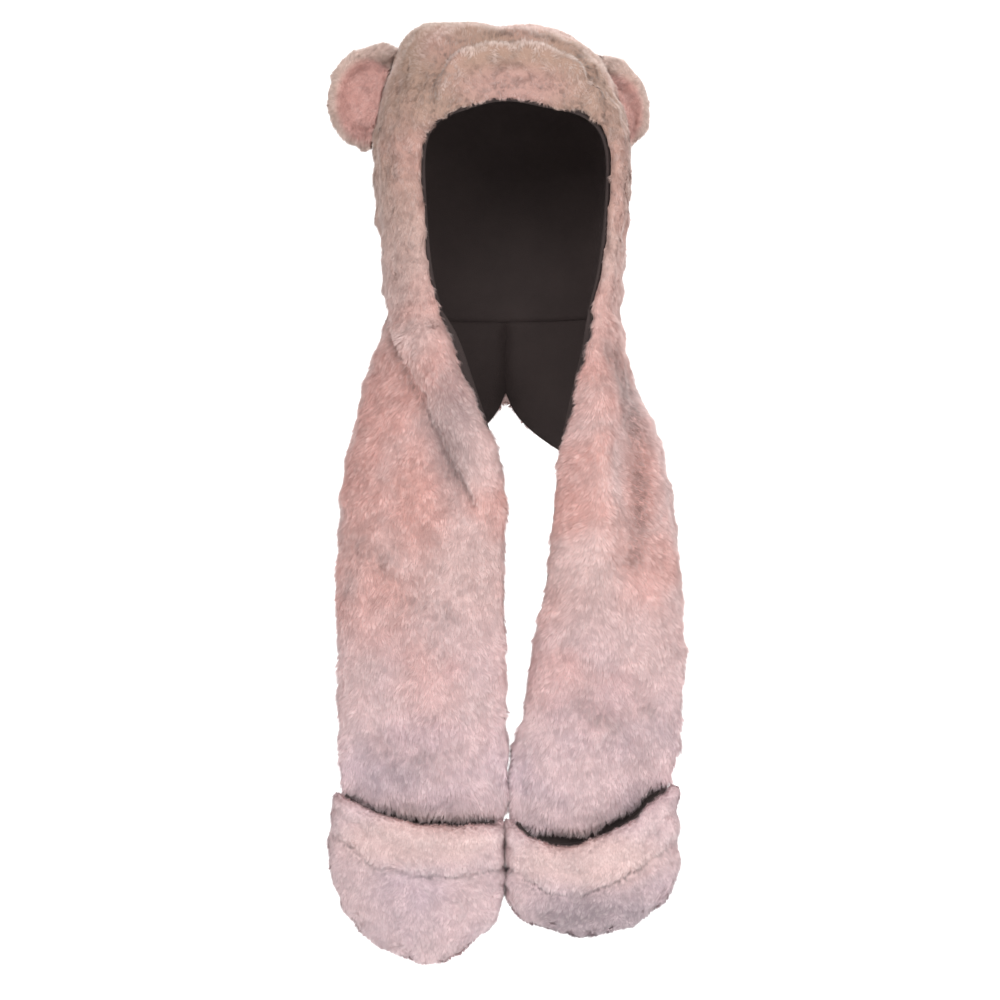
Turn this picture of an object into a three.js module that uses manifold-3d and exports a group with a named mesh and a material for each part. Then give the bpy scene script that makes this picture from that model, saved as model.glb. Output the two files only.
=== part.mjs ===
// Plush bear hood scarf: a lined fur hood with two round ears, whose sides run
// down into two scarf tails, each ending in a paw-shaped hand pocket.
// Millimetres, +Z up. The face opening looks along -Y, and the wearer's right
// hand side is -X. The origin is the point inside the crown where a head's top
// sits. Fur faces outwards everywhere, over a thin dark lining.

import * as THREE from "three";
import { mergeVertices } from "three/addons/utils/BufferGeometryUtils.js";
import Module from "manifold-3d";

const wasm = await Module();
wasm.setup();

// Cloth and fur
const LINING = 2.4; // lining cloth with its backing
const BAG_CLOTH = 1.8; // one wall of a pocket bag
const PILE = 11; // depth of the fur, backing included
const EDGE_PILE = 7; // depth of the fur where it rolls over an edge
const LOCK = 2.6; // how far a lock of fur stands above its root
const SEWN = 0.4; // gap between pieces that are sewn together
const WELD = 0.001; // points nearer than this are one point

// Hood, measured on the inside of its lining from the middle of the head
const CROWN_RISE = 103; // up to the seat in the crown, which is the origin
const HOOD_REACH = 100; // out to the side of the head
const HOOD_BACK = 112; // back to the seam behind the head
const HOOD_FRONT = 95; // forward to the brow edge
const FACE_REACH = 70; // from the middle to the edge of the face opening
const NECK_DROP = 129; // down to the seam between hood and scarf
const WIDEST = 5; // how far behind the ears' line the hood is widest
const BROW_RIDGE = 8; // height of the fold of fur across the brow

// Scarf tails and paws
const TAIL_LENGTH = 428; // from the neck seam to the pocket mouth
const TAIL_REACH = 146; // from the middle out to a tail's outer edge
const TAIL_FRONT = 80; // how far forward the tails hang
const PAW_HALF_WIDTH = 64.5; // on the cloth, without the fur
const PAW_LENGTH = 116; // what a paw's outline is shared out from
const PAW_PLANE = 60; // how far forward the back of a paw hangs
const POCKET_DEPTH = 21; // hollow between the two walls of a pocket
const MOUTH_SLIT = 10; // widest gap between the tail's hem and the pocket rim
const EDGE_ROLL = 5; // how far a tail's long edge curls back
const EDGE_SWELL = 5.5; // how far the fur swells past a tail's edges near the pocket
const LINING_SHOWN = 7; // lining that shows along a tail's inner edge
const NAPE_GAP = 0.2; // half the gap between the tails behind the neck

// Ears
const EAR_RADIUS = 46;
const EAR_THICKNESS = 33;

// Numbers of cells. The fur's outside is twice as fine as what lies under it.
const HOOD_CELLS = { around: 24, deep: 11 };
const TAIL_CELLS = { across: 8, down: 16 };
const PAW_CELLS = { across: 10, down: 4 };
const EAR_SIDES = 26;

const HEAD_MIDDLE = -CROWN_RISE;
const HEM_HEIGHT = HEAD_MIDDLE - NECK_DROP;
const TAIL_END = HEM_HEIGHT - TAIL_LENGTH;

// Sections of the hood from the top of the crown to the neck seam. turn is the
// section's angle from upright in degrees, and the rest are shares: drop of
// NECK_DROP, reach of HOOD_REACH, rim of FACE_REACH, front of HOOD_FRONT and
// back of HOOD_BACK.
const CROWN_ROW = { turn: 0, drop: 0, reach: 1.03, rim: 0.55, front: 1, back: 1 };
const HOOD_LEFT = [
  CROWN_ROW,
  { turn: 18, drop: 0, reach: 1.11, rim: 0.56, front: 0.99, back: 1 },
  { turn: 34, drop: 0, reach: 1.26, rim: 0.6, front: 0.97, back: 1 },
  { turn: 51, drop: 0, reach: 1.13, rim: 0.7, front: 0.91, back: 1 },
  { turn: 68, drop: 0, reach: 1.03, rim: 0.9, front: 0.81, back: 1 },
  { turn: 82, drop: 0.03, reach: 1.02, rim: 0.96, front: 0.71, back: 1 },
  { turn: 90, drop: 0.14, reach: 1, rim: 0.96, front: 0.63, back: 0.99 },
  { turn: 90, drop: 0.42, reach: 0.96, rim: 0.93, front: 0.58, back: 0.92 },
  { turn: 90, drop: 0.72, reach: 0.93, rim: 0.89, front: 0.59, back: 0.83 },
  { turn: 90, drop: 1, reach: 0.93, rim: 0.76, front: 0.66, back: 0.76 },
];
const HOOD_RIGHT = [
  CROWN_ROW,
  { turn: 18, drop: 0, reach: 1.07, rim: 0.56, front: 0.99, back: 1 },
  { turn: 34, drop: 0, reach: 1.09, rim: 0.61, front: 0.97, back: 1 },
  { turn: 51, drop: 0, reach: 1.01, rim: 0.74, front: 0.91, back: 1 },
  { turn: 68, drop: 0, reach: 0.96, rim: 1.05, front: 0.81, back: 1 },
  { turn: 82, drop: 0.03, reach: 0.94, rim: 1.18, front: 0.72, back: 1 },
  { turn: 90, drop: 0.14, reach: 0.93, rim: 1.19, front: 0.64, back: 0.99 },
  { turn: 90, drop: 0.42, reach: 0.9, rim: 1.16, front: 0.6, back: 0.92 },
  { turn: 90, drop: 0.72, reach: 0.88, rim: 1.1, front: 0.6, back: 0.83 },
  { turn: 90, drop: 1, reach: 0.86, rim: 0.97, front: 0.66, back: 0.76 },
];

// Sections of a tail below the neck seam. drop is a share of TAIL_LENGTH. The
// seven places across are the inner edge, the crest and the valley of the
// turned-out front band, the rest of the front, the side, the rear quarter and
// the outer edge, which starts at the nape. They are shares of TAIL_REACH out
// from the middle and of TAIL_FRONT forward.
const TAIL_LEFT = [
  {
    drop: 0.06,
    out: [0.274, 0.438, 0.575, 0.637, 0.575, 0.356, 0],
    forward: [0.88, 0.93, 0.62, 0.06, -0.44, -0.82, -1.01],
  },
  {
    drop: 0.16,
    out: [0.178, 0.315, 0.466, 0.63, 0.76, 0.575, 0],
    forward: [0.95, 1.01, 0.7, 0.6, 0.1, -0.5, -0.96],
  },
  {
    drop: 0.26,
    out: [0.082, 0.192, 0.342, 0.562, 0.767, 0.836, 0.27],
    forward: [0.95, 1.01, 0.71, 0.7, 0.47, 0, -0.65],
  },
  {
    drop: 0.36,
    out: [0.027, 0.137, 0.301, 0.514, 0.712, 0.87, 0.836],
    forward: [0.9, 0.96, 0.78, 0.75, 0.65, 0.38, -0.06],
  },
  {
    drop: 0.48,
    out: [0.021, 0.178, 0.342, 0.514, 0.671, 0.829, 0.925],
    forward: [0.84, 0.89, 0.88, 0.85, 0.8, 0.68, 0.45],
  },
  {
    drop: 0.66,
    out: [0.021, 0.178, 0.336, 0.493, 0.644, 0.795, 0.925],
    forward: [0.78, 0.81, 0.84, 0.82, 0.8, 0.76, 0.68],
  },
  {
    drop: 0.86,
    out: [0.027, 0.178, 0.329, 0.479, 0.63, 0.774, 0.918],
    forward: [0.75, 0.76, 0.78, 0.78, 0.76, 0.75, 0.72],
  },
];
const TAIL_RIGHT = [
  {
    drop: 0.06,
    out: [0.452, 0.521, 0.589, 0.61, 0.534, 0.342, 0],
    forward: [0.88, 0.84, 0.53, 0.05, -0.45, -0.82, -1.01],
  },
  {
    drop: 0.16,
    out: [0.384, 0.493, 0.589, 0.658, 0.671, 0.507, 0],
    forward: [0.95, 1, 0.72, 0.38, -0.06, -0.56, -0.96],
  },
  {
    drop: 0.26,
    out: [0.322, 0.5, 0.651, 0.753, 0.808, 0.74, 0.27],
    forward: [0.94, 1.02, 0.72, 0.57, 0.23, -0.25, -0.65],
  },
  {
    drop: 0.36,
    out: [0.288, 0.5, 0.658, 0.767, 0.849, 0.877, 0.767],
    forward: [0.9, 1, 0.78, 0.7, 0.47, 0.15, -0.23],
  },
  {
    drop: 0.48,
    out: [0.26, 0.425, 0.589, 0.726, 0.829, 0.904, 0.918],
    forward: [0.82, 0.91, 0.88, 0.8, 0.68, 0.5, 0.28],
  },
  {
    drop: 0.66,
    out: [0.178, 0.329, 0.479, 0.623, 0.76, 0.877, 0.966],
    forward: [0.78, 0.82, 0.84, 0.82, 0.8, 0.75, 0.65],
  },
  {
    drop: 0.86,
    out: [0.096, 0.247, 0.397, 0.541, 0.692, 0.829, 0.945],
    forward: [0.75, 0.76, 0.78, 0.78, 0.76, 0.75, 0.71],
  },
];

// Outline of a paw from its inner side to its outer side. across is a share of
// PAW_HALF_WIDTH from the paw's middle, mouth and foot are heights from the
// tail's end in shares of PAW_LENGTH, and slit is a share of MOUTH_SLIT.
const PAW_LEFT = [
  { across: -1, mouth: 0.05, foot: -0.195, slit: 0.15 },
  { across: -0.95, mouth: 0.04, foot: -0.495, slit: 0.3 },
  { across: -0.8, mouth: 0.02, foot: -0.715, slit: 0.45 },
  { across: -0.5, mouth: 0.015, foot: -0.875, slit: 0.55 },
  { across: -0.25, mouth: 0.02, foot: -0.935, slit: 0.5 },
  { across: 0, mouth: 0.04, foot: -0.92, slit: 0.4 },
  { across: 0.25, mouth: 0.065, foot: -0.885, slit: 0.4 },
  { across: 0.5, mouth: 0.11, foot: -0.8, slit: 0.45 },
  { across: 0.8, mouth: 0.18, foot: -0.605, slit: 0.5 },
  { across: 0.95, mouth: 0.22, foot: -0.375, slit: 0.35 },
  { across: 1, mouth: 0.235, foot: -0.235, slit: 0.2 },
];
const PAW_RIGHT = [
  { across: -1, mouth: 0.058, foot: -0.265, slit: 0.3 },
  { across: -0.95, mouth: 0.01, foot: -0.475, slit: 0.6 },
  { across: -0.8, mouth: -0.075, foot: -0.615, slit: 0.9 },
  { across: -0.5, mouth: -0.13, foot: -0.685, slit: 1 },
  { across: -0.25, mouth: -0.125, foot: -0.72, slit: 1 },
  { across: 0, mouth: -0.09, foot: -0.74, slit: 1 },
  { across: 0.25, mouth: -0.035, foot: -0.7, slit: 1 },
  { across: 0.5, mouth: 0.045, foot: -0.65, slit: 1 },
  { across: 0.8, mouth: 0.2, foot: -0.515, slit: 0.9 },
  { across: 0.95, mouth: 0.26, foot: -0.375, slit: 0.5 },
  { across: 1, mouth: 0.28, foot: -0.235, slit: 0.2 },
];

// The two sides. out is the direction of that side's outer edge, and middle
// how far out the paw's middle hangs, a share of PAW_HALF_WIDTH.
const LEFT = { out: -1, hood: HOOD_LEFT, tail: TAIL_LEFT, paw: PAW_LEFT, middle: 1.14 };
const RIGHT = { out: 1, hood: HOOD_RIGHT, tail: TAIL_RIGHT, paw: PAW_RIGHT, middle: 1.115 };

// The fold of fur across the brow. middle is its place across the hood, which
// it fills as far as full and leaves at gone. ridge and crease are places from
// the back seam to the rim, with the half width of each.
const BROW_FOLD = {
  middle: 0.51,
  full: 0.07,
  gone: 0.17,
  ridge: 0.8,
  ridgeWidth: 0.045,
  crease: 0.885,
  creaseWidth: 0.035,
  creaseDepth: 0.6,
};

// An ear's section from the middle of its dished front, over its rolled rim,
// to the middle of its domed back: out is a share of EAR_RADIUS, and forward
// of EAR_THICKNESS.
const EAR_PROFILE = [
  { out: 0, forward: 0.06 },
  { out: 0.3, forward: 0.1 },
  { out: 0.56, forward: 0.22 },
  { out: 0.78, forward: 0.4 },
  { out: 0.92, forward: 0.34 },
  { out: 1, forward: 0.06 },
  { out: 0.95, forward: -0.24 },
  { out: 0.78, forward: -0.42 },
  { out: 0.42, forward: -0.52 },
  { out: 0, forward: -0.56 },
];

// Where the ears sit: out is a share of HOOD_REACH, back of HOOD_BACK, and down
// of CROWN_RISE, all from the head's middle or the crown. yaw turns the dish
// outwards, in degrees.
const EARS = [
  { name: "ear_left", out: -1.08, back: 0.04, down: 0.44, size: 1, yaw: -16 },
  { name: "ear_right", out: 0.84, back: 0.1, down: 0.5, size: 0.92, yaw: 20 },
];

const FUR_PINK = new THREE.MeshStandardMaterial({ color: 0xcfa39b, roughness: 0.95 });
const FUR_MAUVE = new THREE.MeshStandardMaterial({ color: 0xcdb0ae, roughness: 0.95 });
const LINING_BROWN = new THREE.MeshStandardMaterial({ color: 0x352a28, roughness: 0.9 });

const radians = THREE.MathUtils.degToRad;
const mix = THREE.MathUtils.lerp;
const ease = THREE.MathUtils.smoothstep;

// The slope of a curve at a value, from the steps before and after it. It is
// level at a peak or a dip, so that the curve never swings past its values.
const slope = (step, next) => (step * next > 0 ? (2 * step * next) / (step + next) : 0);

// The Hermite curve through four values in a row, between the middle two.
function bend(before, start, end, after, t) {
  const leave = slope(start - before, end - start);
  const arrive = slope(end - start, after - end);
  const square = t * t;
  const cube = square * t;
  return (
    (2 * cube - 3 * square + 1) * start +
    (cube - 2 * square + t) * leave +
    (3 * square - 2 * cube) * end +
    (cube - square) * arrive
  );
}

// A smooth value between the rows of a table, at a share of the way down it.
// Past either end the table goes on in a straight line.
function smooth(rows, share, read) {
  const last = rows.length - 1;
  const at = share * last;
  const low = Math.min(Math.floor(at), last - 1);
  const value = (i) => {
    const near = Math.max(0, Math.min(last, i));
    return read(rows[near]) * 2 - read(rows[2 * near - i]);
  };
  return bend(value(low - 1), value(low), value(low + 1), value(low + 2), at - low);
}

// A fixed number from 0 to 1 for each pair of whole numbers.
function scatter(a, b) {
  const wave = Math.sin(a * 12.9898 + b * 78.233) * 43758.5453;
  return wave - Math.floor(wave);
}

// How far the fur stands up at a point of its grid. Locks lie in staggered
// rows, each two cells wide and three long, and rise from root to tip.
function lock(i, j) {
  const strand = Math.floor(i / 2);
  const along = j + (strand % 2) * 1.5;
  const rise = (along % 3) / 3;
  const crest = i % 2 ? 1 : 0.35;
  const own = 0.7 + 0.6 * scatter(strand, Math.floor(along / 3));
  return LOCK * (rise * crest * own - 0.25);
}

// A point of the hood's inside: across runs from the left neck seam over the
// crown to the right one, and deep from the back seam to the rim.
function hoodPoint(across, deep) {
  const side = across < 0.5 ? LEFT : RIGHT;
  return hoodSection(side, Math.abs(2 * across - 1), deep);
}

// A point of one half of the hood. down runs from the crown to the neck seam.
// Behind the widest point a section is a quarter of a squarish ellipse, and in
// front of it a quarter ellipse that turns in to the rim.
function hoodSection(side, down, deep) {
  const read = (column) => smooth(side.hood, down, (row) => row[column]);
  const turn = radians(read("turn"));
  const height = HEAD_MIDDLE - NECK_DROP * read("drop");
  const reach = HOOD_REACH * read("reach");
  const rim = Math.min(FACE_REACH * read("rim"), reach);
  const back = HOOD_BACK * read("back");
  const front = HOOD_FRONT * read("front");
  const widest = 0.58;
  let away;
  let y;
  if (deep < widest) {
    const swing = (Math.PI / 2) * (deep / widest);
    away = reach * Math.sin(swing) ** 0.9;
    y = WIDEST + (back - WIDEST) * Math.cos(swing) ** 0.9;
  } else {
    const swing = (Math.PI / 2) * ((deep - widest) / (1 - widest));
    away = rim + (reach - rim) * Math.cos(swing);
    y = WIDEST - (front + WIDEST) * Math.sin(swing);
  }
  return new THREE.Vector3(
    side.out * away * Math.sin(turn),
    y,
    height + away * Math.cos(turn),
  );
}

// A point of a paw's flat back. across runs from its inner side to its outer
// one, down from the pocket's mouth to its foot, and inset is taken off its edge.
function pawPoint(side, across, down, inset = 0) {
  const read = (column) => smooth(side.paw, across, (row) => row[column]);
  const swell = across > 0.5 ? mix(0.94, 1, ease(down, 0, 0.4)) : 1;
  const half = (PAW_HALF_WIDTH - inset) * swell;
  const mouth = TAIL_END + PAW_LENGTH * read("mouth");
  const foot = TAIL_END + PAW_LENGTH * read("foot") + inset;
  const x = side.out * (PAW_HALF_WIDTH * side.middle + half * read("across"));
  return new THREE.Vector3(x, -PAW_PLANE, mix(mouth, foot, down));
}

// The height of a tail's hem over the pocket mouth.
function hemPoint(side, across) {
  const point = pawPoint(side, across, 0);
  const slit = MOUTH_SLIT * smooth(side.paw, across, (row) => row.slit);
  point.z += slit;
  return point;
}

// A point of a tail's back. across runs from its inner edge to its outer one,
// and down from the neck seam to the hem over the pocket.
function tailPoint(side, across, down) {
  const places = side.tail[0].out.length - 1;
  const slot = Math.min(Math.floor(across * places), places - 1);
  const seam = (place) => {
    const on = hoodSection(side, 1, 1 - place / places);
    return new THREE.Vector3(side.out * on.x, -on.y, 0);
  };
  const hem = hemPoint(side, across);
  // Each place across follows its own curve from the seam to the hem.
  const follow = (place) => {
    const end = hemPoint(side, place / places);
    const rows = [
      { drop: 0, out: seam(place).x, forward: seam(place).y },
      ...side.tail.map((row) => ({
        drop: row.drop,
        out: TAIL_REACH * row.out[place],
        forward: TAIL_FRONT * row.forward[place],
      })),
      { drop: 1, out: side.out * end.x, forward: PAW_PLANE },
    ];
    return ["drop", "out", "forward"].map((c) => smooth(rows, down, (row) => row[c]));
  };
  const followed = (place) => {
    const near = Math.max(0, Math.min(places, place));
    const back = follow(2 * near - place);
    return follow(near).map((value, k) => value * 2 - back[k]);
  };
  const four = [slot - 1, slot, slot + 1, slot + 2].map(followed);
  const share = across * places - slot;
  const [drop, out, forward] = [0, 1, 2].map((k) =>
    bend(four[0][k], four[1][k], four[2][k], four[3][k], share),
  );
  // Close to the seam the tail keeps the hood's own section.
  const on = hoodSection(side, 1, 1 - across);
  const near = 1 - ease(down, 0, 0.07);
  const roll = EDGE_ROLL * Math.abs(2 * across - 1) ** 10 * (1 - near) * (1 - ease(down, 0.8, 1));
  const x = side.out * Math.max(mix(out, side.out * on.x, near), NAPE_GAP);
  const y = mix(-forward, on.y, near) + roll;
  const level = HEM_HEIGHT - TAIL_LENGTH * drop;
  const z = level + (hem.z - TAIL_END) * ease(down, 0.82, 1);
  return new THREE.Vector3(x, y, z);
}

// A grid of points, welded where two fall together, with a smooth normal at
// each that points away from the head. level says which points lie on a seam,
// where the normal stays horizontal.
function sheet(columns, rows, place, level = () => false) {
  const points = [];
  const grid = [];
  const known = new Map();
  for (let i = 0; i <= columns; i++) {
    grid.push([]);
    for (let j = 0; j <= rows; j++) {
      const point = place(i / columns, j / rows);
      const key = point.toArray().map((v) => Math.round(v / WELD)).join();
      if (!known.has(key)) {
        known.set(key, points.length);
        points.push({ point, i, j, normal: new THREE.Vector3() });
      }
      grid[i].push(known.get(key));
    }
  }
  const faces = (step) => facesOf(grid, columns, rows, step);
  for (const [a, b, c] of faces(1)) {
    const p = points[a].point;
    const ab = points[b].point.clone().sub(p);
    const ac = points[c].point.clone().sub(p);
    const normal = ab.cross(ac);
    for (const k of [a, b, c]) points[k].normal.add(normal);
  }
  const away = points.reduce((sum, { point, normal }) => {
    return sum + point.x * normal.x + point.y * normal.y;
  }, 0);
  for (const { normal, i, j } of points) {
    if (away < 0) normal.negate();
    if (level(i, j)) normal.z = 0;
    normal.normalize();
  }
  return { points, faces, flipped: away < 0 };
}

// The triangles of a grid, taken step cells at a time, without those that a
// weld has closed up.
function facesOf(grid, columns, rows, step) {
  const found = [];
  for (let i = 0; i < columns; i += step) {
    for (let j = 0; j < rows; j += step) {
      const [a, b] = [grid[i][j], grid[i + step][j]];
      const [c, d] = [grid[i + step][j + step], grid[i][j + step]];
      found.push([a, b, c], [a, c, d]);
    }
  }
  return found.filter(([a, b, c]) => a !== b && b !== c && c !== a);
}

// The loops of edges that only one triangle has, each as a list of points.
function loopsOf(faces) {
  const next = new Map();
  const edges = new Set(faces.flatMap(([a, b, c]) => [`${a} ${b}`, `${b} ${c}`, `${c} ${a}`]));
  for (const edge of edges) {
    const [a, b] = edge.split(" ").map(Number);
    if (!edges.has(`${b} ${a}`)) next.set(a, b);
  }
  const loops = [];
  while (next.size) {
    const loop = [];
    let at = next.keys().next().value;
    while (next.has(at)) {
      loop.push(at);
      const to = next.get(at);
      next.delete(at);
      at = to;
    }
    loops.push(loop);
  }
  return loops;
}

function geometryOf(positions, faces) {
  const geometry = new THREE.BufferGeometry();
  const flat = positions.flatMap((p) => p.toArray());
  geometry.setAttribute("position", new THREE.Float32BufferAttribute(flat, 3));
  geometry.setIndex(faces.flat());
  return geometry;
}

// A wall on a sheet, between two depths out along its normals. With fine set,
// the outside has every point of the sheet, and the inside every second one.
// swell moves the outside sideways.
function wall(cloth, from, to, fine = false, swell = () => 0) {
  const { points, flipped } = cloth;
  const inner = cloth.faces(2);
  const outer = fine ? cloth.faces(1) : inner;
  const lift = (p, depth) => {
    const far = typeof depth === "function" ? depth(p.i, p.j) : depth;
    return p.point.clone().addScaledVector(p.normal, far);
  };
  const sideways = (p) => new THREE.Vector3(swell(p.i, p.j), 0, 0);
  const positions = [
    ...points.map((p) => lift(p, to).add(sideways(p))),
    ...points.map((p) => lift(p, from)),
  ];
  const under = (k) => k + points.length;
  const faces = [...outer, ...inner.map(([a, b, c]) => [under(c), under(b), under(a)])];
  const coarse = new Set(inner.flat());
  for (const found of loopsOf(outer)) {
    const start = found.findIndex((k) => coarse.has(k));
    const loop = [...found.slice(start), ...found.slice(0, start)];
    let base = loop[0];
    loop.forEach((a, n) => {
      const b = loop[(n + 1) % loop.length];
      faces.push([b, a, under(base)]);
      if (!coarse.has(b)) return;
      faces.push([b, under(base), under(b)]);
      base = b;
    });
  }
  return geometryOf(positions, flipped ? faces.map(([a, b, c]) => [c, b, a]) : faces);
}

// A geometry as a solid that can be cut, and back again.
function solidOf(geometry) {
  const bare = geometry.clone();
  bare.deleteAttribute("normal");
  bare.deleteAttribute("uv");
  const merged = mergeVertices(bare, WELD);
  const vertProperties = merged.attributes.position.array;
  const triVerts = new Uint32Array(merged.index.array);
  return new wasm.Manifold(new wasm.Mesh({ numProp: 3, vertProperties, triVerts }));
}

function cutGeometry(solid) {
  const mesh = solid.getMesh();
  const geometry = new THREE.BufferGeometry();
  geometry.setAttribute("position", new THREE.BufferAttribute(mesh.vertProperties, 3));
  geometry.setIndex(new THREE.BufferAttribute(mesh.triVerts, 1));
  return geometry;
}

function named(name, geometry, material) {
  const mesh = new THREE.Mesh(geometry, material);
  mesh.name = name;
  return mesh;
}

// How full the pile is near an edge: 0 on the edge and 1 well inside it.
const inward = (share, width) => 1 - (1 - Math.min(1, share / width)) ** 2;

// The hood's sheet, with the neck seam on its first and last columns.
const hoodColumns = 2 * HOOD_CELLS.around;
const hoodRows = 2 * HOOD_CELLS.deep;
const hoodSheet = sheet(hoodColumns, hoodRows, hoodPoint, (i) => i === 0 || i === hoodColumns);

// Depth of the hood's fur. A ridge folds over the brow between the ears, with
// a crease under it, and the pile thins out at the rim and at the neck seam.
function hoodPile(i, j) {
  const across = i / hoodColumns;
  const deep = j / hoodRows;
  const seam = mix(0.5, 1, inward(Math.min(across, 1 - across), 0.05));
  const rim = inward(1 - deep, 0.1);
  const full = mix(EDGE_PILE, PILE, Math.min(seam, rim));
  const brow = BROW_FOLD;
  const middle = 1 - ease(Math.abs(across - brow.middle), brow.full, brow.gone);
  const ridge = Math.exp(-(((deep - brow.ridge) / brow.ridgeWidth) ** 2));
  const crease = Math.exp(-(((deep - brow.crease) / brow.creaseWidth) ** 2));
  const fold = BROW_RIDGE * middle * (ridge - brow.creaseDepth * crease);
  const pole = ease(deep, 0, 0.25);
  return LINING + SEWN + full + fold + lock(i, j) * Math.min(seam, rim, pole);
}

function hood() {
  const group = new THREE.Group();
  group.add(named("hood_lining", wall(hoodSheet, 0, LINING), LINING_BROWN));
  group.add(named("hood_fur", wall(hoodSheet, LINING + SEWN, hoodPile, true), FUR_PINK));
  return group;
}

// An ear is turned round its own middle, and its base is cut to the hood.
function ear({ name, out, back, down, size, yaw }) {
  const section = EAR_PROFILE.map(
    (row) => new THREE.Vector2(row.out * EAR_RADIUS * size, -row.forward * EAR_THICKNESS),
  );
  const disc = new THREE.LatheGeometry(section, EAR_SIDES);
  disc.rotateZ(radians(yaw));
  disc.translate(HOOD_REACH * out, HOOD_BACK * back, -CROWN_RISE * down);
  const clear = (i, j) => hoodPile(i, j) + SEWN;
  const hoodFilled = solidOf(wall(hoodSheet, -EAR_RADIUS, clear, true));
  const pieces = solidOf(disc).subtract(hoodFilled).decompose();
  const whole = pieces.reduce((a, b) => (a.volume() > b.volume() ? a : b));
  return named(name, cutGeometry(whole), FUR_PINK);
}

// The share of a tail's width, at its inner edge, where the fur leaves the
// lining bare. It dies away below the neck.
function bareShare(down) {
  const shown = ease(down, 0, 0.1) * (1 - ease(down, 0.25, 0.45));
  return (LINING_SHOWN / TAIL_REACH) * shown;
}

// The tail's fur ends in a hem over the pocket's mouth. Near the pocket, which
// is wider than the cloth, it swells out past the cloth's long edges.
function tailFur(name, side) {
  const columns = 2 * TAIL_CELLS.across;
  const rows = 2 * TAIL_CELLS.down;
  const place = (across, down) => {
    const point = tailPoint(side, mix(bareShare(down), 1, across), down);
    if (down === 0) point.z -= SEWN;
    return point;
  };
  const cloth = sheet(columns, rows, place, (i, j) => j === 0 || j === rows);
  const pile = (i, j) => {
    const flank = inward(Math.min(i, columns - i) / columns, 0.16);
    const end = inward(Math.min(j, rows - j) / rows, 0.05);
    const full = mix(EDGE_PILE, PILE, Math.min(flank, end));
    return LINING + SEWN + full + lock(i, j) * Math.min(flank, end);
  };
  const swell = (i, j) => {
    const across = (2 * i) / columns - 1;
    return side.out * EDGE_SWELL * across ** 5 * ease(j / rows, 0.6, 0.95);
  };
  return named(name, wall(cloth, LINING + SEWN, pile, true, swell), FUR_MAUVE);
}

// The lining backs the whole tail and goes on down as the back of the paw. Its
// first cell is the bare strip, and the others lie behind the fur's own cells.
function tailLining(name, side) {
  const columns = 2 * (TAIL_CELLS.across + 1);
  const rows = 2 * (TAIL_CELLS.down + PAW_CELLS.down);
  const share = TAIL_CELLS.down / (TAIL_CELLS.down + PAW_CELLS.down);
  const place = (across, at) => {
    const down = Math.min(1, at / share);
    const column = Math.round(across * columns);
    const behind = (column - 2) / (columns - 2);
    const bare = bareShare(down);
    const under = column < 2 ? (bare * column) / 2 : mix(bare, 1, behind);
    if (at > share) return pawBack(side, under, (at - share) / (1 - share));
    const point = tailPoint(side, under, down);
    if (at === 0) point.z -= SEWN;
    return point;
  };
  const cloth = sheet(columns, rows, place, (i, j) => j === 0);
  return named(name, wall(cloth, 0, LINING), LINING_BROWN);
}

// The back of the paw starts at the tail's hem, so that no gap is left.
function pawBack(side, across, down) {
  const point = pawPoint(side, across, down);
  point.z = mix(hemPoint(side, across).z, pawPoint(side, across, 1).z, down);
  return point;
}

// How far the front of a pocket stands off its back: an arched lens, widest a
// little under the mouth.
function puff(across, down) {
  const sides = Math.sqrt(Math.max(0, 1 - Math.abs(2 * across - 1) ** 3));
  const foot = Math.sqrt(Math.max(0, 1 - Math.max(0, (down - 0.25) / 0.75) ** 2.4));
  return POCKET_DEPTH * sides * foot;
}

const BAG_BACK = LINING + SEWN;
const BAG_SEAM = 3; // width of the seam round a pocket bag

// A pocket bag: two walls that meet round the paw's edge, open at the mouth.
function pocketBag(name, side) {
  const { across: columns, down: rows } = PAW_CELLS;
  const layers = [
    { inset: 0, depth: (u, v) => 2 * BAG_CLOTH + puff(u, v) },
    { inset: BAG_SEAM, depth: (u, v) => BAG_CLOTH + puff(u, v) },
    { inset: BAG_SEAM, depth: () => BAG_CLOTH },
    { inset: 0, depth: () => 0 },
  ];
  const positions = [];
  const ids = layers.map((layer) => {
    const grid = [];
    for (let i = 0; i <= columns; i++) {
      grid.push([]);
      for (let j = 0; j <= rows; j++) {
        const edge = i === 0 || i === columns || j === rows;
        const point = pawPoint(side, i / columns, j / rows, layer.inset);
        const depth = edge ? BAG_CLOTH : layer.depth(i / columns, j / rows);
        point.y -= BAG_BACK + depth;
        grid[i].push(positions.push(point) - 1);
      }
    }
    return grid;
  });
  const [front, lined, back, base] = ids;
  const share = (to, from) => {
    for (let i = 0; i <= columns; i++) to[i][rows] = from[i][rows];
    for (const i of [0, columns]) to[i] = from[i];
  };
  share(base, front);
  share(back, lined);
  const turn = (faces) => faces.map(([a, b, c]) => [c, b, a]);
  const skin = (grid) => facesOf(grid, columns, rows, 1);
  const faces = [...skin(front), ...turn(skin(lined)), ...skin(back), ...turn(skin(base))];
  for (let i = 0; i < columns; i++) {
    const rim = [front[i][0], front[i + 1][0], lined[i][0], lined[i + 1][0]];
    const hem = [base[i][0], base[i + 1][0], back[i][0], back[i + 1][0]];
    faces.push([rim[0], rim[2], rim[1]], [rim[1], rim[2], rim[3]]);
    faces.push([hem[0], hem[1], hem[2]], [hem[1], hem[3], hem[2]]);
  }
  const facing = side.out < 0 ? faces : turn(faces);
  return named(name, geometryOf(positions, facing), LINING_BROWN);
}

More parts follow.
